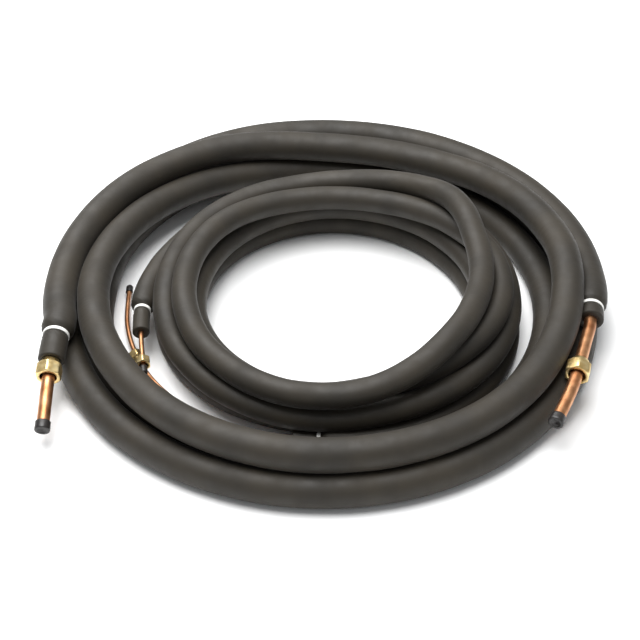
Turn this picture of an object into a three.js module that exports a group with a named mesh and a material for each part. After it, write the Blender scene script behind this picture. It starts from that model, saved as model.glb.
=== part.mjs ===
// A mini split line set: two copper refrigerant lines in foam sleeves, each wound into a flat coil.
// Sizes are in millimetres and +Z is up. The origin is on the floor at the middle of the set, and the front,
// where the photograph is taken from, is towards -Y. Both ends of each line are bare tube with a loose flare
// nut and a cap, and a tie draws the foam in behind each of them.
import * as THREE from 'three';
import { mergeVertices } from 'three/addons/utils/BufferGeometryUtils.js';

// Suction line: 5/8 in copper in half-inch foam
const SUCTION_TUBE_OD = 15.88;
const SUCTION_TUBE_WALL = 0.8;
const SUCTION_FOAM_WALL = 12.7;
const SUCTION_COIL_RADIUS = 324.5;

// Liquid line: 1/4 in copper in half-inch foam, coiled inside the other about a middle of its own
const LIQUID_TUBE_OD = 6.35;
const LIQUID_TUBE_WALL = 0.8;
const LIQUID_FOAM_WALL = 12.7;
const LIQUID_COIL_RADIUS = 212;
const LIQUID_COIL_X = 13;
const LIQUID_COIL_Y = -35;

// Fits between pieces
const FOAM_FIT = 0.3;
const LAP_CLEARANCE = 1;
const NUT_FIT = 0.6;
const CAP_FIT = 0.6;
const TIE_FIT = 0.3;

// Ties, pulled tight round the foam near each end of it
const TIE_WIDTH = 4.8;
const TIE_THICKNESS = 1.2;
const TIE_BITE = 1.2;
const TIE_WAIST = 3;
const TIE_SHOULDER = 9;

// How much narrower the foam is beyond its tie, across
const SUCTION_SQUEEZE = 8.2;
const LIQUID_SQUEEZE = 9.8;

// Flare nuts: across flats, whole length, round neck and threaded mouth
const SUCTION_NUT = { flats: 29, length: 25, hexLength: 18, neckWall: 3, threadBore: 20.6, mouthDepth: 14 };
const LIQUID_NUT = { flats: 17, length: 16, hexLength: 11.5, neckWall: 2.2, threadBore: 10.2, mouthDepth: 9 };
const NUT_CHAMFER = 1.2;

// Push-on end caps
const CAP_WALL = 1.1;
const CAP_END = 3;
const CAP_SKIRT = 9;
const CAP_RECESS = 1.2;
const CAP_ROUND = 0.8;

// Facets
const SUCTION_SLEEVE_SIDES = 12;
const LIQUID_SLEEVE_SIDES = 10;
const SUCTION_TUBE_SIDES = 8;
const LIQUID_TUBE_SIDES = 6;
const STATIONS_PER_TURN = 24;
const TURNED_SIDES = 12;

// How far a free span of line falls: the change of its slope for each millimetre of length
const SUCTION_SAG = 0.0006;
const LIQUID_SAG = 0.0011;
const SETTLING_SWEEPS = 500;

// A lap lies beside another, and not on it, where it is a full width away to within this
const BESIDE = 0.02;

// Where each line lies, as [degrees wound, lane]. Degrees fall as the line runs clockwise seen from
// above, with 0 at the right, 90 at the back, 180 at the left and -90 at the front. A lane is the
// distance from the coil's middle radius, in widths of the sleeve.
const SUCTION_LANES = [
  [195, 0.59], [180, 0.5], [157.5, 0.27], [135, 0], [112.5, -0.27], [90, -0.5], [60, -0.48], [30, -0.35],
  [0, -0.2], [-30, -0.1], [-60, -0.03], [-90, 0], [-120, -0.1], [-150, -0.35], [-180, -0.5],
  [-202.5, -0.65], [-225, -0.71], [-247.5, -0.65], [-270, -0.5], [-360, -0.6], [-450, -0.5],
  [-540, -0.5], [-562.5, -0.27], [-585, 0], [-607.5, 0.27], [-630, 0.5], [-720, 0.4], [-810, 0.5],
  [-900, 0.5], [-922.5, 0.65], [-945, 0.71], [-967.5, 0.65], [-990, 0.5], [-1080, 0.58],
];
const LIQUID_LANES = [
  [165, 1.12], [150, 1.05], [90, 1], [0, 0.5], [-90, 0.05], [-180, 0.31], [-250, 0.5], [-285, 0.5],
  [-315, 0.15], [-345, -0.6], [-375, -0.75], [-450, 0.03], [-540, -0.5], [-615, -0.5], [-645, -0.5],
  [-720, 0.1], [-810, -0.95], [-900, -0.83], [-990, 0], [-1080, -0.5], [-1170, -1.62], [-1260, -0.68],
  [-1350, 0.25], [-1440, -0.5], [-1530, -0.62], [-1620, 0.32], [-1710, 1.25], [-1800, 0.5],
  [-1875, 0.38],
];
// The order in which the stretches were laid, lowest first, as [from, to] in degrees wound
const SUCTION_LAYERS = [[-450, -900], [-900, -1080], [-180, -450], [195, -180]];
const LIQUID_LAYERS = [
  [-1170, -1875], [-810, -1170], [165, 60], [60, -180], [-180, -280], [-640, -810], [-280, -640],
];

// The loose ends beyond the coils, chosen by hand: where the foam's middle passes, the tie and the
// foam's open end, then the bare tube to its tip, each as an offset from the end of the coil. The nut
// stands after the given point of the bare tube, at a distance from it (0 is the foam's open end).
const SUCTION_LEFT = {
  foam: [], tie: [-1.5, -30, -1.8], end: [-3, -69.5, -9], bare: [[-2.6, -163.5, -34]],
  nutAfter: 0, nutAt: 0.5,
};
const SUCTION_RIGHT = {
  foam: [[-0.5, -30, 0]], tie: [-6.2, -67, -1], end: [-9, -88, -1.5],
  bare: [[-23, -134, -4], [-51, -214, -9], [-74, -262, -12]],
  nutAfter: 1, nutAt: 30,
};
const LIQUID_FRONT = {
  foam: [[-9.5, -37, -1.5]], tie: [-12.2, -76, -3.2], end: [-9.5, -119, -4], bare: [[1, -192, -5]],
  nutAfter: 0, nutAt: 46,
};
const LIQUID_BACK = {
  foam: [[-39, -6.8, 0]], tie: [-78.5, -6.9, 0], end: [-110, -1.9, 0],
  bare: [
    [-151.7, 5, -1], [-196.7, 22, -2], [-239.7, 50, -3], [-276.7, 86, -3.3], [-303.7, 126, -3.6],
    [-321.7, 168, -3.8], [-333.7, 214, -4.2], [-337.7, 259, -4.6], [-338.7, 290, -5],
  ],
  nutAfter: 5, nutAt: 15,
};

// Sizes that follow from the ones above
const SUCTION_SLEEVE_OD = SUCTION_TUBE_OD + 2 * SUCTION_FOAM_WALL;
const LIQUID_SLEEVE_OD = LIQUID_TUBE_OD + 2 * LIQUID_FOAM_WALL;

// A lane between its chosen places: a smooth curve that never swings past them
function laneAt(lanes, turn) {
  const next = Math.max(1, lanes.findIndex(([place]) => place <= turn));
  const slope = (k) => (lanes[k + 1][1] - lanes[k][1]) / (lanes[k + 1][0] - lanes[k][0]);
  const easedSlope = (k) => {
    if (k === 0 || k === lanes.length - 1) return 0;
    const before = slope(k - 1);
    const after = slope(k);
    return before * after <= 0 ? 0 : 2 * before * after / (before + after);
  };
  const [fromTurn, fromLane] = lanes[next - 1];
  const [toTurn, toLane] = lanes[next];
  const span = toTurn - fromTurn;
  const t = (turn - fromTurn) / span;
  return (2 * t ** 3 - 3 * t ** 2 + 1) * fromLane + (t ** 3 - 2 * t ** 2 + t) * span * easedSlope(next - 1)
    + (-2 * t ** 3 + 3 * t ** 2) * toLane + (t ** 3 - t ** 2) * span * easedSlope(next);
}

// The stations of one coil. Every lap has its stations at the same angles, so that laps that lie
// beside each other keep one distance. The laps settle: a free span sags between its supports, and
// a station never lies lower than where its sleeve rests on the floor or on the laps laid before it.
function windCoil({ radius, sleeve, sides, lanes, layers, sag }) {
  const step = 360 / STATIONS_PER_TURN;
  const pitch = sleeve + LAP_CLEARANCE;
  const floorRest = sleeve / 2 * Math.cos(Math.PI / sides);
  const count = Math.floor((lanes[0][0] - lanes[lanes.length - 1][0]) / step + 1e-6) + 1;
  const stations = [];
  for (let i = 0; i < count; i++) {
    const turn = lanes[0][0] - i * step;
    const layer = layers.findIndex(([from, to]) => from >= turn && turn >= to);
    stations.push({ turn, layer, r: radius + pitch * laneAt(lanes, turn), z: floorRest });
  }
  const fall = sag * THREE.MathUtils.degToRad(step) ** 2 * radius ** 2 / 2;
  for (let sweep = 0; sweep < SETTLING_SWEEPS; sweep++) {
    stations.forEach((station, i) => {
      let rest = floorRest;
      for (let j = i % STATIONS_PER_TURN; j < count; j += STATIONS_PER_TURN) {
        const other = stations[j];
        const apart = Math.abs(station.r - other.r);
        if (other.layer < station.layer && apart < pitch - BESIDE) {
          rest = Math.max(rest, other.z + Math.sqrt(pitch ** 2 - apart ** 2));
        }
      }
      const before = stations[Math.max(i - 1, 0)];
      const after = stations[Math.min(i + 1, count - 1)];
      const hanging = i === 0 ? after.z : i === count - 1 ? before.z : (before.z + after.z) / 2;
      station.z = Math.max(rest, hanging - fall);
    });
  }
  return stations;
}

// A place along a line, with the section's sideways and upward directions; side x up runs along the line
function frameAt(point, along) {
  const forward = along.clone().normalize();
  const side = new THREE.Vector3().crossVectors(new THREE.Vector3(0, 0, 1), forward).normalize();
  const up = new THREE.Vector3().crossVectors(forward, side).normalize();
  return { point: point.clone(), side, up, forward };
}

function coilFrame({ turn, r, z }) {
  const angle = THREE.MathUtils.degToRad(turn);
  const side = new THREE.Vector3(Math.cos(angle), Math.sin(angle), 0);
  const up = new THREE.Vector3(0, 0, 1);
  return { point: side.clone().multiplyScalar(r).setZ(z), side, up, forward: new THREE.Vector3().crossVectors(side, up) };
}

// One loose end beyond a coil: the frames of its foam, with the waist that the tie draws in, and of its
// bare tube. The sign tells whether the line runs outwards here (1) or back towards the coil (-1).
function looseEnd(coilEnd, route, sleeve, sign) {
  const { narrow, waist } = sleeve;
  const at = (offset) => coilEnd.point.clone().add(new THREE.Vector3(...offset));
  const framed = (point, outwards, foam) => ({ ...frameAt(point, outwards.clone().multiplyScalar(sign)), foam });
  const mids = route.foam.map(at);
  const tiePoint = at(route.tie);
  const end = at(route.end);
  const bare = route.bare.map(at);
  const beforeTie = mids[mids.length - 1] ?? coilEnd.point;
  const along = end.clone().sub(beforeTie).normalize();
  const inFoam = mids.map((point, k) => {
    const before = mids[k - 1] ?? coilEnd.point;
    const after = mids[k + 1] ?? tiePoint;
    return framed(point, after.clone().sub(before), sleeve.full);
  });
  const nearTie = (away, foam) => framed(tiePoint.clone().addScaledVector(along, away), along, foam);
  inFoam.push(
    nearTie(-TIE_SHOULDER, sleeve.full), nearTie(-TIE_WAIST, waist),
    nearTie(TIE_WAIST, waist), nearTie(TIE_SHOULDER, narrow),
    framed(end, bare[0].clone().sub(end), narrow),
  );
  const path = [end, ...bare];
  const beyond = bare.map((point, k) => framed(point, (bare[k + 1] ?? point).clone().sub(path[k]), 0));
  const nutFrom = path[route.nutAfter];
  const nutAlong = path[route.nutAfter + 1].clone().sub(nutFrom).normalize();
  return {
    frames: [...inFoam, ...beyond],
    tie: frameAt(tiePoint, along),
    nut: frameAt(nutFrom.clone().addScaledVector(nutAlong, route.nutAt), nutAlong),
    tip: frameAt(path[path.length - 1], path[path.length - 1].clone().sub(path[path.length - 2])),
  };
}

// One line from end to end
function layLine(coil, first, last) {
  const frames = windCoil(coil).map(coilFrame).map((frame) => ({ ...frame, foam: coil.sleeve / 2 }));
  const narrow = (coil.sleeve - coil.squeeze) / 2;
  const sleeve = { full: coil.sleeve / 2, narrow, waist: narrow - TIE_BITE };
  const start = looseEnd(frames[0], first, sleeve, -1);
  const finish = looseEnd(frames[frames.length - 1], last, sleeve, 1);
  const copper = [...start.frames.slice().reverse(), ...frames, ...finish.frames];
  return { copper, foam: copper.filter(({ foam }) => foam > 0), waist: sleeve.waist, ends: [start, finish] };
}

// Corners of a regular section with a flat face underneath
function regularLoop(sides, radius) {
  return Array.from({ length: sides }, (_, k) => {
    const angle = (k + 0.5) * 2 * Math.PI / sides - Math.PI / 2;
    return new THREE.Vector2(radius * Math.cos(angle), radius * Math.sin(angle));
  });
}

function placed(loop, { point, side, up }) {
  return loop.map(({ x, y }) => point.clone().addScaledVector(side, x).addScaledVector(up, y));
}

function meshed(points, faces) {
  const geometry = new THREE.BufferGeometry();
  geometry.setAttribute('position', new THREE.Float32BufferAttribute(points.flatMap((p) => p.toArray()), 3));
  geometry.setIndex(faces.flat());
  return geometry;
}

// A pipe along a row of frames: a wall outside, a bore inside and a flat ring at each end
function pipe(frames, outerSides, outerRadius, boreSides, boreRadius) {
  const points = [];
  const faces = [];
  const bore = regularLoop(boreSides, boreRadius);
  const outerOf = (frame) => regularLoop(outerSides, outerRadius(frame));
  for (const frame of frames) points.push(...placed(outerOf(frame), frame), ...placed(bore, frame));
  const perFrame = outerSides + boreSides;
  const wall = (start, sides, flip) => {
    for (let i = 0; i < frames.length - 1; i++) {
      for (let k = 0; k < sides; k++) {
        const a = i * perFrame + start + k;
        const b = i * perFrame + start + (k + 1) % sides;
        const quad = [[a, b, a + perFrame], [b, b + perFrame, a + perFrame]];
        faces.push(...(flip ? quad.map(([p, q, r]) => [p, r, q]) : quad));
      }
    }
  };
  wall(0, outerSides, false);
  wall(outerSides, boreSides, true);
  const ring = [...outerOf(frames[0]), ...bore];
  for (const face of THREE.ShapeUtils.triangulateShape(outerOf(frames[0]), [bore.slice()])) {
    const [p, q, r] = face.map((k) => ring[k]);
    const leftTurn = (q.x - p.x) * (r.y - p.y) - (q.y - p.y) * (r.x - p.x) > 0;
    const forward = leftTurn ? face : [face[0], face[2], face[1]];
    faces.push([forward[0], forward[2], forward[1]]);
    faces.push(forward.map((k) => k + (frames.length - 1) * perFrame));
  }
  return meshed(points, faces);
}

// A closed ring-shaped piece about Z: loops of the same number of corners, the last joined to the first
function ringOfLoops(loops) {
  const sides = loops[0].loop.length;
  const points = loops.flatMap(({ loop, z }) => loop.map(({ x, y }) => new THREE.Vector3(x, y, z)));
  const faces = [];
  loops.forEach((_, i) => {
    const here = i * sides;
    const there = (i + 1) % loops.length * sides;
    for (let k = 0; k < sides; k++) {
      const on = (k + 1) % sides;
      faces.push([here + k, here + on, there + k], [here + on, there + on, there + k]);
    }
  });
  return meshed(points, faces);
}

// A hexagon drawn with as many corners as a turned section, so that the two can be joined
function hexLoop(flats) {
  const corner = flats / 2 / Math.cos(Math.PI / 6);
  return Array.from({ length: TURNED_SIDES }, (_, k) => {
    const angle = k * 2 * Math.PI / TURNED_SIDES;
    const reach = k % 2 === 0 ? corner : flats / 2;
    return new THREE.Vector2(reach * Math.cos(angle), reach * Math.sin(angle));
  });
}

function turnedLoop(radius) {
  return Array.from({ length: TURNED_SIDES }, (_, k) => {
    const angle = k * 2 * Math.PI / TURNED_SIDES;
    return new THREE.Vector2(radius * Math.cos(angle), radius * Math.sin(angle));
  });
}

// A flare nut along +Z: round neck first, then the hexagon with its threaded mouth facing the tip
function flareNut(size, tubeOd) {
  const bore = tubeOd / 2 + NUT_FIT;
  const neck = bore + size.neckWall;
  const hexFrom = size.length - size.hexLength;
  const face = size.flats / 2;
  return ringOfLoops([
    { loop: turnedLoop(neck), z: 0 },
    { loop: turnedLoop(neck), z: hexFrom - NUT_CHAMFER },
    { loop: hexLoop(size.flats), z: hexFrom },
    { loop: hexLoop(size.flats), z: size.length - NUT_CHAMFER },
    { loop: turnedLoop(face), z: size.length },
    { loop: turnedLoop(size.threadBore / 2), z: size.length },
    { loop: turnedLoop(size.threadBore / 2), z: size.length - size.mouthDepth },
    { loop: turnedLoop(bore), z: size.length - size.mouthDepth - NUT_CHAMFER },
    { loop: turnedLoop(bore), z: 0 },
  ]);
}

// A push-on cap about Z: its skirt covers the last of the tube, and its closed end has a shallow recess
function endCap(tubeOd) {
  const bore = tubeOd / 2 + CAP_FIT;
  const outer = bore + CAP_WALL;
  const rim = 0.65 * outer;
  const profile = [
    [0, CAP_FIT], [bore, CAP_FIT], [bore, -CAP_SKIRT], [outer, -CAP_SKIRT], [outer, CAP_END - CAP_ROUND],
    [outer - CAP_ROUND, CAP_END], [rim, CAP_END], [rim - CAP_ROUND, CAP_END - CAP_RECESS],
    [0, CAP_END - CAP_RECESS],
  ];
  return new THREE.LatheGeometry(profile.map(([r, z]) => new THREE.Vector2(r, z)), TURNED_SIDES)
    .rotateX(Math.PI / 2);
}

// A tie drawn tight round the foam's waist, about Z
function tieBand(waist, sides) {
  const inner = waist + TIE_FIT;
  const outer = inner + TIE_THICKNESS;
  const half = TIE_WIDTH / 2;
  return ringOfLoops([
    { loop: regularLoop(sides, outer), z: -half },
    { loop: regularLoop(sides, outer), z: half },
    { loop: regularLoop(sides, inner), z: half },
    { loop: regularLoop(sides, inner), z: -half },
  ]);
}

// Shared corners are joined, slivers at an axis are dropped, and the faces are turned outwards
function closedBody(geometry) {
  geometry.deleteAttribute('normal');
  geometry.deleteAttribute('uv');
  const joined = mergeVertices(geometry, 1e-4);
  const corner = (k) => new THREE.Vector3().fromBufferAttribute(joined.attributes.position, k);
  const index = Array.from(joined.index.array);
  const faces = [];
  let volume = 0;
  for (let i = 0; i < index.length; i += 3) {
    const [a, b, c] = index.slice(i, i + 3);
    if (a === b || b === c || c === a) continue;
    faces.push([a, b, c]);
    volume += corner(a).dot(corner(b).cross(corner(c)));
  }
  joined.setIndex((volume > 0 ? faces : faces.map(([a, b, c]) => [a, c, b])).flat());
  return joined;
}

const MATERIALS = {
  foam: { color: 0x4a4a48, roughness: 0.85, metalness: 0 },
  copper: { color: 0xb5713f, roughness: 0.35, metalness: 1 },
  brass: { color: 0xc9a24f, roughness: 0.35, metalness: 1 },
  cap: { color: 0x2c2826, roughness: 0.6, metalness: 0 },
  tie: { color: 0xeeeeea, roughness: 0.5, metalness: 0 },
};

function piece(name, geometry, finish, frame) {
  const mesh = new THREE.Mesh(closedBody(geometry), new THREE.MeshStandardMaterial(MATERIALS[finish]));
  mesh.name = name;
  if (frame) {
    const { point, side, up, forward } = frame;
    mesh.position.copy(point);
    mesh.setRotationFromMatrix(new THREE.Matrix4().makeBasis(side, up, forward));
  }
  return mesh;
}

function lineSet(name, coil, tube, nut, ends) {
  const line = layLine(coil, ends[0].route, ends[1].route);
  const group = new THREE.Group();
  const tubeRadius = tube.od / 2;
  const sleeve = pipe(line.foam, coil.sides, ({ foam }) => foam, tube.sides, tubeRadius + FOAM_FIT);
  const copper = pipe(line.copper, tube.sides, () => tubeRadius, tube.sides, tubeRadius - tube.wall);
  group.add(piece(`${name}_sleeve`, sleeve, 'foam'), piece(`${name}_tube`, copper, 'copper'));
  line.ends.forEach((end, i) => {
    const at = `${name}_${ends[i].label}`;
    group.add(piece(`${at}_tie`, tieBand(line.waist, coil.sides), 'tie', end.tie));
    group.add(piece(`${at}_flare_nut`, flareNut(nut, tube.od), 'brass', end.nut));
    group.add(piece(`${at}_end_cap`, endCap(tube.od), 'cap', end.tip));
  });
  return group;
}

const suction = lineSet(
  'suction',
  {
    radius: SUCTION_COIL_RADIUS, sleeve: SUCTION_SLEEVE_OD, squeeze: SUCTION_SQUEEZE, sag: SUCTION_SAG,
    sides: SUCTION_SLEEVE_SIDES, lanes: SUCTION_LANES, layers: SUCTION_LAYERS,
  },
  { od: SUCTION_TUBE_OD, wall: SUCTION_TUBE_WALL, sides: SUCTION_TUBE_SIDES },
  SUCTION_NUT,
  [{ label: 'left', route: SUCTION_LEFT }, { label: 'right', route: SUCTION_RIGHT }],
);

const liquid = lineSet(
  'liquid',
  {
    radius: LIQUID_COIL_RADIUS, sleeve: LIQUID_SLEEVE_OD, squeeze: LIQUID_SQUEEZE, sag: LIQUID_SAG,
    sides: LIQUID_SLEEVE_SIDES, lanes: LIQUID_LANES, layers: LIQUID_LAYERS,
  },
  { od: LIQUID_TUBE_OD, wall: LIQUID_TUBE_WALL, sides: LIQUID_TUBE_SIDES },
  LIQUID_NUT,
  [{ label: 'front', route: LIQUID_FRONT }, { label: 'back', route: LIQUID_BACK }],
);
liquid.position.set(LIQUID_COIL_X, LIQUID_COIL_Y, 0);

// The set stands on its origin: the middle of its base
const set = new THREE.Group();
set.add(suction, liquid);
const extent = new THREE.Box3().setFromObject(set, true);
const middle = extent.getCenter(new THREE.Vector3());
set.position.set(-middle.x, -middle.y, -extent.min.z);
export default set;
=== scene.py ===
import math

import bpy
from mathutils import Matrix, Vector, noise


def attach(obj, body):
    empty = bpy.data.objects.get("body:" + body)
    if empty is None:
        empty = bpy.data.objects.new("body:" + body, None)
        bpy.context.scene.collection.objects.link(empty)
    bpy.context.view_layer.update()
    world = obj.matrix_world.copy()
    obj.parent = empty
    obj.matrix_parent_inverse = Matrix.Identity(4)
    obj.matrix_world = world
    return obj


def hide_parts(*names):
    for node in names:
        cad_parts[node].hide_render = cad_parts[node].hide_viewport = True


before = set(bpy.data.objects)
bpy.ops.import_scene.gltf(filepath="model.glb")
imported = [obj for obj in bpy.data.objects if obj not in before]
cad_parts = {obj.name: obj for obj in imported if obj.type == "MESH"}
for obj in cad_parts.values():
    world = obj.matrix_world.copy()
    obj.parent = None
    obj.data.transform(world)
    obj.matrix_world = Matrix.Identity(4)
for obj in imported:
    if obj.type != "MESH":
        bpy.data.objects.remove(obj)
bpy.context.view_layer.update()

# The look of a mini split line set: two foam-sleeved copper lines, each wound by hand into a flat coil, the
# thin one inside the thick one. The sleeves and tubes are swept smoothly along the routes that the solids
# follow, and the nuts, caps and ties are modelled at their places. Routes and profiles are in millimetres,
# and object_from turns them into metres.

MM = 0.001
# The set's footprint is centred on the origin, and the coils' middles lie here
LARGE_COIL = Vector((-1.72, 0, 0))
SMALL_COIL = Vector((11.28, -35, 0))

# Each line, in millimetres:
# - lanes: at a turn in degrees, how far the lap lies from the coil's radius, in sleeve widths
# - layers: the stretches of turn in the order in which they were laid, the lowest first
# - solid_sides: the sides of the solid sleeve's section, which rests on one of its flats
# - sag: how fast a free span's slope falls; squeeze: how much narrower the foam is beyond its tie
# - ends: points as offsets from the coil's own end, and the nut's place after one of the bare points
SUCTION = {
    "name": "suction", "tube": 15.88, "wall": 0.8, "sleeve": 41.28, "radius": 324.5, "solid_sides": 12,
    "sag": 0.0006, "squeeze": 8.2, "centre": LARGE_COIL,
    "lanes": [
        (195, 0.59), (180, 0.5), (157.5, 0.27), (135, 0), (112.5, -0.27), (90, -0.5), (60, -0.48),
        (30, -0.35), (0, -0.2), (-30, -0.1), (-60, -0.03), (-90, 0), (-120, -0.1), (-150, -0.35),
        (-180, -0.5), (-202.5, -0.65), (-225, -0.71), (-247.5, -0.65), (-270, -0.5), (-360, -0.6),
        (-450, -0.5), (-540, -0.5), (-562.5, -0.27), (-585, 0), (-607.5, 0.27), (-630, 0.5), (-720, 0.4),
        (-810, 0.5), (-900, 0.5), (-922.5, 0.65), (-945, 0.71), (-967.5, 0.65), (-990, 0.5), (-1080, 0.58),
    ],
    "layers": [(-450, -900), (-900, -1080), (-180, -450), (195, -180)],
    "ends": [
        {
            "label": "left", "foam": [], "tie": (-1.5, -30, -1.8), "end": (-3, -69.5, -9),
            "bare": [(-2.6, -163.5, -34)], "nut_after": 0, "nut_at": 0.5,
        },
        {
            "label": "right", "foam": [(-0.5, -30, 0)], "tie": (-6.2, -67, -1), "end": (-9, -88, -1.5),
            "bare": [(-23, -134, -4), (-51, -214, -9), (-74, -262, -12)], "nut_after": 1, "nut_at": 30,
        },
    ],
    "nut": {"flats": 29, "length": 25, "hex": 18, "neck": 3, "thread": 20.6, "mouth": 14, "turns": 9},
}
LIQUID = {
    "name": "liquid", "tube": 6.35, "wall": 0.8, "sleeve": 31.75, "radius": 212, "solid_sides": 10,
    "sag": 0.0011, "squeeze": 9.8, "centre": SMALL_COIL,
    "lanes": [
        (165, 1.12), (150, 1.05), (90, 1), (0, 0.5), (-90, 0.05), (-180, 0.31), (-250, 0.5), (-285, 0.5),
        (-315, 0.15), (-345, -0.6), (-375, -0.75), (-450, 0.03), (-540, -0.5), (-615, -0.5),
        (-645, -0.5), (-720, 0.1), (-810, -0.95), (-900, -0.83), (-990, 0), (-1080, -0.5),
        (-1170, -1.62), (-1260, -0.68), (-1350, 0.25), (-1440, -0.5), (-1530, -0.62), (-1620, 0.32),
        (-1710, 1.25), (-1800, 0.5), (-1875, 0.38),
    ],
    "layers": [
        (-1170, -1875), (-810, -1170), (165, 60), (60, -180), (-180, -280), (-640, -810), (-280, -640),
    ],
    "ends": [
        {
            "label": "front", "foam": [(-9.5, -37, -1.5)], "tie": (-12.2, -76, -3.2),
            "end": (-9.5, -119, -4), "bare": [(1, -192, -5)], "nut_after": 0, "nut_at": 46,
        },
        {
            "label": "back", "foam": [(-39, -6.8, 0)], "tie": (-78.5, -6.9, 0), "end": (-110, -1.9, 0),
            "bare": [
                (-151.7, 5, -1), (-196.7, 22, -2), (-239.7, 50, -3), (-276.7, 86, -3.3),
                (-303.7, 126, -3.6), (-321.7, 168, -3.8), (-333.7, 214, -4.2), (-337.7, 259, -4.6),
                (-338.7, 290, -5),
            ],
            "nut_after": 5, "nut_at": 15,
        },
    ],
    "nut": {"flats": 17, "length": 16, "hex": 11.5, "neck": 2.2, "thread": 10.2, "mouth": 9, "turns": 8},
}

# The laps as the solids have them
STATIONS = 24
LAP_CLEARANCE = 1
# A lap whose lane is within this of a full width away lies beside the other and not on it
BESIDE = 0.02
SETTLING_SWEEPS = 500

# How finely the lines are drawn
FINE_PER_STATION = 6
TAIL_SPACING = 3
SLEEVE_SIDES = 40
TUBE_SIDES = 28
TURNED_SIDES = 48
TIE_SIDES = 64
# A sleeve's step along its length: finer within some reach of a cut end or a tie, as (reach, step)
SLEEVE_STEPS = [(3, 0.7), (16, 1.5)]
SLEEVE_STEP = 8
# The tube's step where it is bare and where foam hides it; the fine one starts a little inside the foam
BARE_STEP = 3
HIDDEN_STEP = 20
INSIDE_FOAM = 5

# The sleeves' form
# The soft foam fills most of the clearance between the solids' laps, and lies just above the floor
SLEEVE_SWELL = 0.45
ABOVE_FLOOR = 0.05
FOAM_FIT = 0.2
# From full width, this far before the tie, the foam narrows until this far beyond it
TAPER_BEFORE_TIE = 14
TAPER_BEYOND_TIE = 9
# The dip under the tie: how deep, how far it reaches, and how broad its flat bottom is
TIE_DIP = 1.2
DIP_REACH = 5.5
DIP_FLATNESS = 1.25
# The cut end's soft edge
CUT_EDGE_LENGTH = 1.6
CUT_EDGE_DROP = 1.1
# Puckers in the foam on both sides of the tie
PUCKER_HEIGHT = 0.5
PUCKERS_AROUND = 11
PUCKERS_FROM_TIE = 8
PUCKER_REACH = 6
# The foam's wall is never quite even: slow swells, about 45 mm long, and ones about a third of that size
SWELL_HEIGHT = 0.35
SWELL_AROUND = 0.9
SWELL_LENGTH_RATE = 0.022
SMALL_SWELL_HEIGHT = 0.12
SMALL_SWELL_RATE = 3.1

# Camera: 40 degrees above the floor, in front of the set, as the photograph was taken
CAMERA_HEIGHT_ANGLE = math.radians(40)
CAMERA_DISTANCE = 1910
FOCAL_PIXELS = 1410
PICTURE_SIDE = 640
# The large coil's middle on the floor, in the picture's pixels
PICTURE_ORIGIN = (325, 312)
SENSOR_WIDTH = 36

# Studio: a broad soft light almost overhead, a weaker one from behind, and pale, slightly cool surroundings.
# Each light has a name, a place and a width in metres, and a power in watts.
LIGHTS = [("key", (-0.35, 0.15, 2.7), 2.4, 120), ("back", (-0.9, 1.8, 1.8), 1.8, 36)]
SURROUNDINGS_COLOUR = (0.95, 0.975, 1, 1)
SURROUNDINGS_STRENGTH = 0.42
FLOOR_CORNERS = [(-6000, -4000), (6000, -4000), (6000, 8000), (-6000, 8000)]


# ---- routes ----

def hermite(t, start, start_slope, end, end_slope):
    """A cubic curve from start to end with those slopes, at t from 0 to 1."""
    return ((2 * t**3 - 3 * t**2 + 1) * start + (t**3 - 2 * t**2 + t) * start_slope
            + (-2 * t**3 + 3 * t**2) * end + (t**3 - t**2) * end_slope)


def lane_at(lanes, turn):
    """A lane between its chosen places: a smooth curve that never swings past them."""
    last = len(lanes) - 1
    after = next((k for k in range(1, last + 1) if lanes[k][0] <= turn), last)

    def slope(k):
        return (lanes[k + 1][1] - lanes[k][1]) / (lanes[k + 1][0] - lanes[k][0])

    def eased_slope(k):
        if k in (0, last) or slope(k - 1) * slope(k) <= 0:
            return 0
        return 2 * slope(k - 1) * slope(k) / (slope(k - 1) + slope(k))

    (x0, y0), (x1, y1) = lanes[after - 1], lanes[after]
    span = x1 - x0
    return hermite((turn - x0) / span, y0, span * eased_slope(after - 1), y1, span * eased_slope(after))


def settled_heights(line):
    """The heights at which the laps come to rest on the floor and on each other."""
    step = 360 / STATIONS
    pitch = line["sleeve"] + LAP_CLEARANCE
    floor_rest = line["sleeve"] / 2 * math.cos(math.pi / line["solid_sides"])
    lanes = line["lanes"]
    count = round((lanes[0][0] - lanes[-1][0]) / step) + 1
    turns = [lanes[0][0] - i * step for i in range(count)]
    radii = [line["radius"] + pitch * lane_at(lanes, turn) for turn in turns]
    layer = [next(k for k, (a, b) in enumerate(line["layers"]) if a >= turn >= b) for turn in turns]
    under = []
    for i in range(count):
        below = []
        for j in range(i % STATIONS, count, STATIONS):
            apart = abs(radii[i] - radii[j])
            if layer[j] < layer[i] and apart < pitch - BESIDE:
                below.append((j, math.sqrt(pitch**2 - apart**2)))
        under.append(below)
    fall = line["sag"] * math.radians(step) ** 2 * line["radius"] ** 2 / 2
    z = [floor_rest] * count
    for _ in range(SETTLING_SWEEPS):
        for i in range(count):
            rest = max([floor_rest] + [z[j] + rise for j, rise in under[i]])
            if i == 0:
                hanging = z[1]
            elif i == count - 1:
                hanging = z[i - 1]
            else:
                hanging = (z[i - 1] + z[i + 1]) / 2
            z[i] = max(rest, hanging - fall)
    return turns, z


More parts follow.
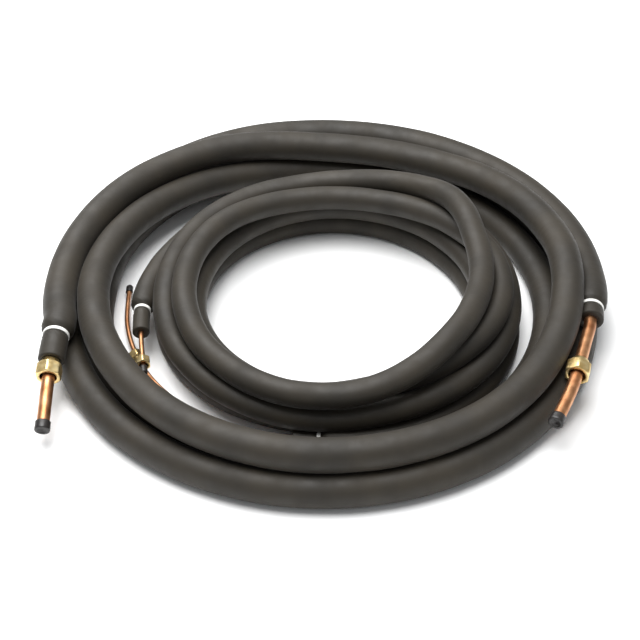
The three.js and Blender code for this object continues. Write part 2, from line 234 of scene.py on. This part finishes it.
def tail_through(points, before):
    """A smooth curve through a loose end's points; the point before them shapes its start."""
    pts = [before, *points]
    span = [(b - a).length for a, b in zip(pts, pts[1:])]

    def tangent(k):
        left = (pts[k] - pts[k - 1]) / span[k - 1]
        if k == len(pts) - 1:
            return left
        right = (pts[k + 1] - pts[k]) / span[k]
        return (left * span[k] + right * span[k - 1]) / (span[k] + span[k - 1])

    samples = []
    for k in range(1, len(pts) - 1):
        steps = max(2, round(span[k] / TAIL_SPACING))
        for i in range(steps):
            samples.append(hermite(i / steps, pts[k], tangent(k) * span[k],
                                   pts[k + 1], tangent(k + 1) * span[k]))
    samples.append(pts[-1].copy())
    return samples


class Route:
    """A line from tip to tip, with the places along it where its foam ends and its pieces sit."""

    def __init__(self, line):
        turns, z = settled_heights(line)
        pitch = line["sleeve"] + LAP_CLEARANCE
        coil = []
        for i in range((len(turns) - 1) * FINE_PER_STATION + 1):
            k, part = divmod(i, FINE_PER_STATION)
            t = part / FINE_PER_STATION
            turn = turns[k] - t * 360 / STATIONS
            z0, z1, z2, z3 = (z[min(max(k + d, 0), len(z) - 1)] for d in (-1, 0, 1, 2))
            height = hermite(t, z1, (z2 - z0) / 2, z2, (z3 - z1) / 2)
            r = line["radius"] + pitch * lane_at(line["lanes"], turn)
            angle = math.radians(turn)
            coil.append(line["centre"] + Vector((r * math.cos(angle), r * math.sin(angle), height)))

        tails = []
        starts = ((coil[0], coil[FINE_PER_STATION]), (coil[-1], coil[-1 - FINE_PER_STATION]))
        for end, (tip, inner) in zip(line["ends"], starts):
            at = [tip + Vector(p) for p in [*end["foam"], end["tie"], end["end"], *end["bare"]]]
            tails.append(tail_through([tip, *at], inner))
        self.points = tails[0][:0:-1] + coil + tails[1][1:]
        self.start = [0]
        for a, b in zip(self.points, self.points[1:]):
            self.start.append(self.start[-1] + (b - a).length)
        self.length = self.start[-1]

        self.places = []
        count = len(self.points)
        spans = ((0, len(tails[0])), (count - len(tails[1]), count))
        for end, tip, span in zip(line["ends"], (coil[0], coil[-1]), spans):
            at = [tip + Vector(p) for p in [end["end"], *end["bare"]]]
            a, b = at[end["nut_after"]], at[end["nut_after"] + 1]
            nut = a + (b - a).normalized() * end["nut_at"]
            self.places.append({
                "tie": self.nearest(tip + Vector(end["tie"]), span),
                "foam": self.nearest(at[0], span),
                "nut": self.nearest(nut, span),
            })

    def nearest(self, point, span):
        """The distance along the line at which it passes nearest to a point, within a span of its points."""
        k = min(range(*span), key=lambda i: (self.points[i] - point).length)
        best, where = math.inf, 0
        for i in (max(k - 1, 0), min(k, len(self.points) - 2)):
            a, b = self.points[i], self.points[i + 1]
            t = min(max((point - a).dot(b - a) / (b - a).length_squared, 0), 1)
            off = (a.lerp(b, t) - point).length
            if off < best:
                best, where = off, self.start[i] + t * (b - a).length
        return where

    def heading(self, i):
        last = len(self.points) - 1
        return (self.points[min(i + 1, last)] - self.points[max(i - 1, 0)]).normalized()

    def axes_at(self, s):
        """Point, side, up and forward at a distance along the line."""
        s = min(max(s, 0), self.length)
        lo, hi = 0, len(self.start) - 1
        while hi - lo > 1:
            mid = (lo + hi) // 2
            lo, hi = (mid, hi) if self.start[mid] <= s else (lo, mid)
        t = (s - self.start[lo]) / (self.start[hi] - self.start[lo])
        forward = self.heading(lo).lerp(self.heading(hi), t).normalized()
        side = Vector((0, 0, 1)).cross(forward).normalized()
        return self.points[lo].lerp(self.points[hi], t), side, forward.cross(side).normalized(), forward


# ---- building ----

def object_from(name, verts, faces, material, uvs=None):
    mesh = bpy.data.meshes.new(name)
    mesh.from_pydata([v * MM for v in verts], [], faces)
    if uvs:
        layer = mesh.uv_layers.new(name="along")
        for loop in mesh.loops:
            layer.data[loop.index].uv = uvs[loop.vertex_index]
    mesh.materials.append(material)
    mesh.validate()
    made = bpy.data.objects.new(name, mesh)
    bpy.context.collection.objects.link(made)
    for polygon in mesh.polygons:
        polygon.use_smooth = True
    return made


def sweep(name, route, stops, sides, material, outside, inside):
    """A pipe along a route: outside and inside give its radii at a distance and an angle."""
    verts, uvs, faces = [], [], []
    for radius in (outside, inside):
        for s in stops:
            at, side, up, _ = route.axes_at(s)
            for k in range(sides):
                angle = 2 * math.pi * k / sides
                p = at + (side * math.cos(angle) + up * math.sin(angle)) * radius(s, angle)
                p.z = max(p.z, ABOVE_FLOOR)
                verts.append(p)
                uvs.append((s * MM, k / sides))
    inner = len(stops) * sides
    last = inner - sides
    for k in range(sides):
        n = (k + 1) % sides
        for i in range(0, last, sides):
            faces.append((i + k, i + n, i + sides + n, i + sides + k))
            faces.append((inner + i + k, inner + i + sides + k, inner + i + sides + n, inner + i + n))
        faces.append((k, inner + k, inner + n, n))
        faces.append((last + k, last + n, inner + last + n, inner + last + k))
    return object_from(name, verts, faces, material, uvs)


def rings(name, loops, where, material):
    """A turned piece: loops of points joined in turn and back to the first; where is a 4x4 in mm."""
    sides = len(loops[0])
    verts = [where @ p for loop in loops for p in loop]
    faces = []
    for i in range(len(loops)):
        here, there = i * sides, (i + 1) % len(loops) * sides
        for k in range(sides):
            n = (k + 1) % sides
            faces.append((here + k, here + n, there + n, there + k))
    return object_from(name, verts, faces, material)


def placed(axes, outwards):
    """The matrix, in mm, that puts +Z along the line's way out at a place on it."""
    at, side, up, forward = axes
    if outwards < 0:
        side, forward = -side, -forward
    return Matrix.Translation(at) @ Matrix((side, up, forward)).transposed().to_4x4()


def circle(radius, z, sides=TURNED_SIDES):
    angles = [2 * math.pi * k / sides for k in range(sides)]
    return [Vector((radius * math.cos(angle), radius * math.sin(angle), z)) for angle in angles]


def hexagon(flats, cone, z):
    """A hexagon cut by a chamfer of the given radius, with as many corners as a circle."""
    loop = []
    for k in range(TURNED_SIDES):
        angle = 2 * math.pi * k / TURNED_SIDES
        off = (angle + math.pi / 6) % (math.pi / 3) - math.pi / 6
        r = min(flats / 2 / math.cos(off), cone)
        loop.append(Vector((r * math.cos(angle), r * math.sin(angle), z)))
    return loop


def flare_nut(name, size, tube, where, material):
    """A forged hexagon nut: z 0 is the neck's end, where the tube goes in, and length the threaded mouth."""
    # The fit on the tube, the neck's edge, and the hexagon's turned faces with their chamfers
    slip, edge, face_edge, flat_edge, chamfer = 0.35, 0.6, 0.4, 0.15, math.radians(30)
    # The fillet below the hexagon: its length, and halfway its distance from the hexagon and its rise
    fillet, fillet_half, fillet_rise = 1.6, 0.7, 0.5
    # The thread beside its nominal radius, its lead-in, and the plain length at its bottom
    crest, root, lead_in, lead_depth, plain = 0.25, -0.35, 0.9, 0.7, 2
    length, flats = size["length"], size["flats"]
    half = flats / 2
    bore = tube / 2 + slip
    neck = bore + size["neck"]
    thread = size["thread"] / 2
    to_corner = half / math.cos(math.pi / 6) - half
    drop = to_corner * math.tan(chamfer)
    back = length - size["hex"]
    # The neck and its fillet, up to the hexagon's back
    loops = [
        circle(neck - edge, 0), circle(neck, edge), circle(neck, back - fillet),
        circle(neck + fillet_rise, back - fillet_half), circle(half - face_edge, back),
        hexagon(flats, half + 0.1, back + flat_edge),
    ]
    # The hexagon, with the turned chamfers of both its faces
    for part in (0.35, 0.7, 1):
        loops.append(hexagon(flats, half + to_corner * part, back + flat_edge + drop * part))
    for part in (1, 0.7, 0.35, 0.05):
        loops.append(hexagon(flats, half + to_corner * part, length - flat_edge - drop * part))
    # The mouth and its thread, drawn as rings
    loops += [circle(half - face_edge, length), circle(thread + lead_in, length)]
    loops.append(circle(thread + 0.2, length - lead_depth))
    pitch = (size["mouth"] - plain) / size["turns"]
    for turn in range(size["turns"]):
        deep = length - lead_in - turn * pitch
        loops += [circle(thread + crest, deep), circle(thread + root, deep - pitch / 2)]
    # The seat at the thread's end, and the bore
    floor = length - size["mouth"]
    loops += [circle(thread + 0.2, floor + 0.6), circle(bore + 0.6, floor - 1), circle(bore, floor - 2)]
    loops += [circle(bore, 0.4), circle(bore + 0.4, 0)]
    return rings(name, loops, where, material)


def end_cap(name, tube, where, material):
    """A push-on cap: z 0 is the tube's tip. Its skirt goes down over the tube, and its top is dished."""
    fit, wall, skirt, lip, top, middle = 0.3, 1.7, 9, 0.4, 3, 0.02
    bore = tube / 2 + fit
    outer = tube / 2 + wall
    profile = [
        # Skirt
        (bore, lip - skirt), (bore + lip, -skirt), (outer - lip, -skirt), (outer, lip - skirt),
        (outer - 0.15, -6), (outer, -1), (outer, 1.9),
        # Rounded rim and the dish inside it
        (outer - 0.35, 2.6), (outer - 1, top), (0.7 * outer, top), (0.62 * outer, 2.8), (0.58 * outer, 2),
        (0.55 * outer, 1.8), (middle, 1.8),
        # The cap's inside, just clear of the tube's tip
        (middle, 0.5), (bore - 0.4, 0.5), (bore, 0),
    ]
    return rings(name, [circle(r, z) for r, z in profile], where, material)


def nylon_tie(name, waist, where, material):
    """A tie's band round the foam's waist, with softly rounded edges."""
    width, inner, outer, edge = 4.6, waist + 0.2, waist + 1.5, 0.3
    half = width / 2
    section = [(inner, -half), (outer - edge, -half), (outer, -half + edge), (outer, half - edge),
               (outer - edge, half), (inner, half)]
    return rings(name, [circle(r, z, TIE_SIDES) for r, z in section], where, material)


# ---- materials ----

def linear(code):
    """An sRGB hex colour as linear RGBA."""
    channels = [int(code[i:i + 2], 16) / 255 for i in (1, 3, 5)]
    return (*[c / 12.92 if c <= 0.04045 else ((c + 0.055) / 1.055) ** 2.4 for c in channels], 1)


def per_metre(size):
    """A pattern's scale, from the size of one of its marks in mm."""
    return 1 / (size * MM)


def feed(tree, node, inputs):
    """Sets a node's inputs, each to a value or to a link from a socket."""
    for key, value in inputs.items():
        if isinstance(value, bpy.types.NodeSocket):
            tree.links.new(value, node.inputs[key])
        else:
            node.inputs[key].default_value = value


def add(tree, kind, inputs=None, **settings):
    """Adds a node with its settings and inputs."""
    made = tree.nodes.new(kind)
    for key, value in settings.items():
        setattr(made, key, value)
    feed(tree, made, inputs or {})
    return made


def new_material(name):
    """A material, its node tree, and the place in metres that its patterns follow."""
    material = bpy.data.materials.new(name)
    material.use_nodes = True
    tree = material.node_tree
    return material, tree, add(tree, "ShaderNodeTexCoord").outputs["Object"]


def finished(material, inputs):
    feed(material.node_tree, material.node_tree.nodes["Principled BSDF"], inputs)
    return material


# Nearly all of a noise's values lie between these
NOISE_LOW, NOISE_HIGH = 0.3, 0.7


def blotches(tree, place, size, dark, light):
    """Soft patches between two colours, about size mm across."""
    cloud = add(tree, "ShaderNodeTexNoise", {"Vector": place, "Scale": per_metre(size), "Detail": 3})
    ramp = add(tree, "ShaderNodeValToRGB", {"Fac": cloud.outputs["Fac"]})
    dark_end, light_end = ramp.color_ramp.elements
    dark_end.position, dark_end.color = NOISE_LOW, linear(dark)
    light_end.position, light_end.color = NOISE_HIGH, linear(light)
    return ramp.outputs["Color"]


def ranged(tree, place, size, low, high):
    """A value that drifts between low and high in patches about size mm across."""
    cloud = add(tree, "ShaderNodeTexNoise", {"Vector": place, "Scale": per_metre(size), "Detail": 2})
    mapped = add(tree, "ShaderNodeMapRange", {
        "Value": cloud.outputs["Fac"], "From Min": NOISE_LOW, "From Max": NOISE_HIGH,
        "To Min": low, "To Max": high})
    return mapped.outputs["Result"]


def foam_material():
    # Closed-cell elastomeric foam, extruded with a smooth skin. It gives a dull, brownish black that is
    # slightly powdery, with soft lights and no sharp ones, and faint creases where the sleeve is bent.
    material, tree, place = new_material("elastomeric_foam_matt")
    along = add(tree, "ShaderNodeUVMap", uv_map="along").outputs["UV"]
    # The creases run across the sleeve, about 11 mm apart, and each goes a third of the way round
    across = add(tree, "ShaderNodeMapping", {"Vector": along, "Scale": (per_metre(11.111), 3, 1)})
    creases = add(tree, "ShaderNodeTexNoise", {
        "Vector": across.outputs["Vector"], "Scale": 1, "Detail": 3, "Roughness": 0.55})
    # The skin's pores are about 0.3 mm and are drawn nearly twice as coarse, to show in a close view
    pores = add(tree, "ShaderNodeTexNoise", {"Vector": place, "Scale": per_metre(0.5556), "Detail": 2})
    creased = add(tree, "ShaderNodeBump", {
        "Height": creases.outputs["Fac"], "Strength": 0.35, "Distance": 1.6 * MM})
    skin = add(tree, "ShaderNodeBump", {
        "Height": pores.outputs["Fac"], "Strength": 0.25, "Distance": 0.25 * MM,
        "Normal": creased.outputs["Normal"]})
    return finished(material, {
        "Base Color": blotches(tree, place, 62.5, "#231f18", "#302a20"),
        "Roughness": ranged(tree, place, 25, 0.56, 0.7), "Normal": skin.outputs["Normal"],
        "Specular IOR Level": 0.45, "Sheen Weight": 0.05, "Sheen Roughness": 0.4,
    })


def copper_material():
    # Bare copper tube, drawn through a die and handled in the open. It gives a warm satin shine, drawn out
    # along the tube, with faint brown tarnish.
    material, tree, place = new_material("drawn_copper_satin")
    along = add(tree, "ShaderNodeUVMap", uv_map="along").outputs["UV"]
    # The die's lines are 125 mm long, with 260 round the tube: 0.2 mm apart on the thick one
    lines = add(tree, "ShaderNodeMapping", {"Vector": along, "Scale": (per_metre(125), 260, 1)})
    drawn = add(tree, "ShaderNodeTexNoise", {"Vector": lines.outputs["Vector"], "Scale": 1, "Detail": 2})
    relief = add(tree, "ShaderNodeBump", {
        "Height": drawn.outputs["Fac"], "Strength": 0.12, "Distance": 0.2 * MM})
    return finished(material, {
        "Base Color": blotches(tree, place, 18.182, "#a86f4a", "#d09c72"), "Metallic": 1,
        "Roughness": ranged(tree, place, 11.111, 0.34, 0.5), "Normal": relief.outputs["Normal"],
    })


def brass_material():
    # Forged brass nuts with turned faces. They give a pale yellow satin, a little livelier than the copper.
    material, tree, place = new_material("turned_brass_satin")
    # The tool's marks are about 0.1 mm and are drawn at 1.1 mm, so that they show at all
    marks = add(tree, "ShaderNodeTexNoise", {"Vector": place, "Scale": per_metre(1.1111), "Detail": 3})
    relief = add(tree, "ShaderNodeBump", {
        "Height": marks.outputs["Fac"], "Strength": 0.1, "Distance": 0.1 * MM})
    return finished(material, {
        "Base Color": blotches(tree, place, 8.3333, "#d8b673", "#f0dba6"), "Metallic": 1,
        "Roughness": ranged(tree, place, 5, 0.32, 0.46), "Normal": relief.outputs["Normal"],
    })


def plastic_material(name, dark, light):
    # Small moulded pieces: an even colour and a soft shine, broken a little by the mould's grain. The grain
    # is about 0.1 mm and is drawn at 1.4 mm, so that it shows at all.
    material, tree, place = new_material(name)
    grain = add(tree, "ShaderNodeTexNoise", {"Vector": place, "Scale": per_metre(1.4286), "Detail": 2})
    relief = add(tree, "ShaderNodeBump", {
        "Height": grain.outputs["Fac"], "Strength": 0.1, "Distance": 0.1 * MM})
    return finished(material, {
        "Base Color": blotches(tree, place, 16.667, dark, light),
        "Roughness": ranged(tree, place, 6.6667, 0.35, 0.5), "Normal": relief.outputs["Normal"],
    })


def floor_material():
    # A seamless sheet of matt white card. It gives an even pale ground with soft shadows and no shine.
    material, tree, place = new_material("studio_card_white")
    return finished(material, {
        "Base Color": blotches(tree, place, 333.33, "#f4f4f3", "#fafafa"), "Roughness": 0.9,
        "Specular IOR Level": 0.2,
    })


FOAM = foam_material()
COPPER = copper_material()
BRASS = brass_material()
# Push-on caps of soft moulded polyethylene: black, with a slight shine
CAP = plastic_material("polyethylene_black_satin", "#1c1918", "#2b2725")
# Moulded natural nylon: milky white, with a soft shine
NYLON = plastic_material("nylon_white_satin", "#e6e4dd", "#f6f5f0")


# ---- the lines ----

def eased_between(x, a, b):
    """0 before a, 1 after b, and a smooth rise between them."""
    t = min(max((x - a) / (b - a), 0), 1)
    return t * t * (3 - 2 * t)


def bell(x, reach):
    return math.exp(-(x / reach) ** 2)


def build_line(line):
    route = Route(line)
    first, last = route.places
    full = line["sleeve"] / 2 + SLEEVE_SWELL
    narrow = (line["sleeve"] - line["squeeze"]) / 2
    waist = narrow - TIE_DIP

    def sleeve_radius(s, angle):
        # Distances to the cut end and to the tie; the tie's is negative beyond it
        cut = min(s - first["foam"], last["foam"] - s)
        tie = min((s - first["tie"], last["tie"] - s), key=abs)
        r = full + (narrow - full) * (1 - eased_between(tie, -TAPER_BEYOND_TIE, TAPER_BEFORE_TIE))
        r += (waist - r) * min(1, DIP_FLATNESS * bell(tie, DIP_REACH))
        r -= CUT_EDGE_DROP * (1 - eased_between(cut, 0, CUT_EDGE_LENGTH)) ** 2
        r += (PUCKER_HEIGHT * math.sin(PUCKERS_AROUND * angle + s)
              * bell(abs(tie) - PUCKERS_FROM_TIE, PUCKER_REACH))
        spot = Vector((math.cos(angle) * SWELL_AROUND, math.sin(angle) * SWELL_AROUND, s * SWELL_LENGTH_RATE))
        r += SWELL_HEIGHT * noise.noise(spot)
        return r + SMALL_SWELL_HEIGHT * noise.noise(spot * SMALL_SWELL_RATE)

    foam_stops = []
    s = first["foam"]
    while s < last["foam"]:
        foam_stops.append(s)
        close = min(s - first["foam"], last["foam"] - s, abs(s - first["tie"]), abs(s - last["tie"]))
        s += next((step for reach, step in SLEEVE_STEPS if close < reach), SLEEVE_STEP)
    foam_stops.append(last["foam"])
    foam_bore = line["tube"] / 2 + FOAM_FIT

    tube_stops = []
    s = 0
    while s < route.length:
        tube_stops.append(s)
        bare = s < first["foam"] + INSIDE_FOAM or s > last["foam"] - INSIDE_FOAM
        s += BARE_STEP if bare else HIDDEN_STEP
    tube_stops.append(route.length)
    tube_radius = line["tube"] / 2

    # Each piece with the node that it stands for and its material slot
    made = [
        (sweep(f"{line['name']}_foam", route, foam_stops, SLEEVE_SIDES, FOAM,
               sleeve_radius, lambda s, angle: foam_bore), f"{line['name']}_sleeve", "foam"),
        (sweep(f"{line['name']}_copper", route, tube_stops, TUBE_SIDES, COPPER,
               lambda s, angle: tube_radius, lambda s, angle: tube_radius - line["wall"]),
         f"{line['name']}_tube", "copper"),
    ]
    for end, place, outwards in zip(line["ends"], route.places, (-1, 1)):
        label = f"{line['name']}_{end['label']}"
        at_tie, at_nut, at_tip = (
            placed(route.axes_at(s), outwards)
            for s in (place["tie"], place["nut"], 0 if outwards < 0 else route.length))
        tie = nylon_tie(f"{label}_nylon_tie", waist, at_tie, NYLON)
        nut = flare_nut(f"{label}_nut", line["nut"], line["tube"], at_nut, BRASS)
        cap = end_cap(f"{label}_cap", line["tube"], at_tip, CAP)
        made += [(tie, f"{label}_tie", "tie"), (nut, f"{label}_flare_nut", "brass"),
                 (cap, f"{label}_end_cap", "cap")]
    for piece, node, slot in made:
        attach(piece, "root")
        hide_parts(node)


for each in (SUCTION, LIQUID):
    build_line(each)


# ---- floor, light and camera ----

def build_stage():
    corners = [Vector((x, y, 0)) for x, y in FLOOR_CORNERS]
    floor = object_from("floor", corners, [(0, 1, 2, 3)], floor_material())


def build_lights():
    """The studio's lights, all turned to the set, and its surroundings."""
    for name, place, width, power in LIGHTS:
        data = bpy.data.lights.new(name, "AREA")
        data.shape = "DISK"
        data.size = width
        data.energy = power
        lamp = bpy.data.objects.new(name, data)
        lamp.location = place
        lamp.rotation_euler = (-Vector(place)).to_track_quat("-Z", "Y").to_euler()
        bpy.context.collection.objects.link(lamp)
    world = bpy.data.worlds.new("studio")
    world.use_nodes = True
    background = world.node_tree.nodes["Background"]
    background.inputs["Color"].default_value = SURROUNDINGS_COLOUR
    background.inputs["Strength"].default_value = SURROUNDINGS_STRENGTH
    bpy.context.scene.world = world
    # Colours show as they are, without a film's curve
    bpy.context.scene.view_settings.view_transform = "Standard"


def build_camera():
    data = bpy.data.cameras.new("camera")
    data.sensor_width = SENSOR_WIDTH
    data.lens = SENSOR_WIDTH * FOCAL_PIXELS / PICTURE_SIDE
    data.shift_x = -(PICTURE_ORIGIN[0] - PICTURE_SIDE / 2) / PICTURE_SIDE
    data.shift_y = (PICTURE_ORIGIN[1] - PICTURE_SIDE / 2) / PICTURE_SIDE
    camera = bpy.data.objects.new("camera", data)
    back = CAMERA_DISTANCE * MM
    camera.location = LARGE_COIL * MM + Vector(
        (0, -back * math.cos(CAMERA_HEIGHT_ANGLE), back * math.sin(CAMERA_HEIGHT_ANGLE)))
    camera.rotation_euler = (math.pi / 2 - CAMERA_HEIGHT_ANGLE, 0, 0)
    bpy.context.collection.objects.link(camera)
    bpy.context.scene.camera = camera


build_stage()
build_lights()
build_camera()
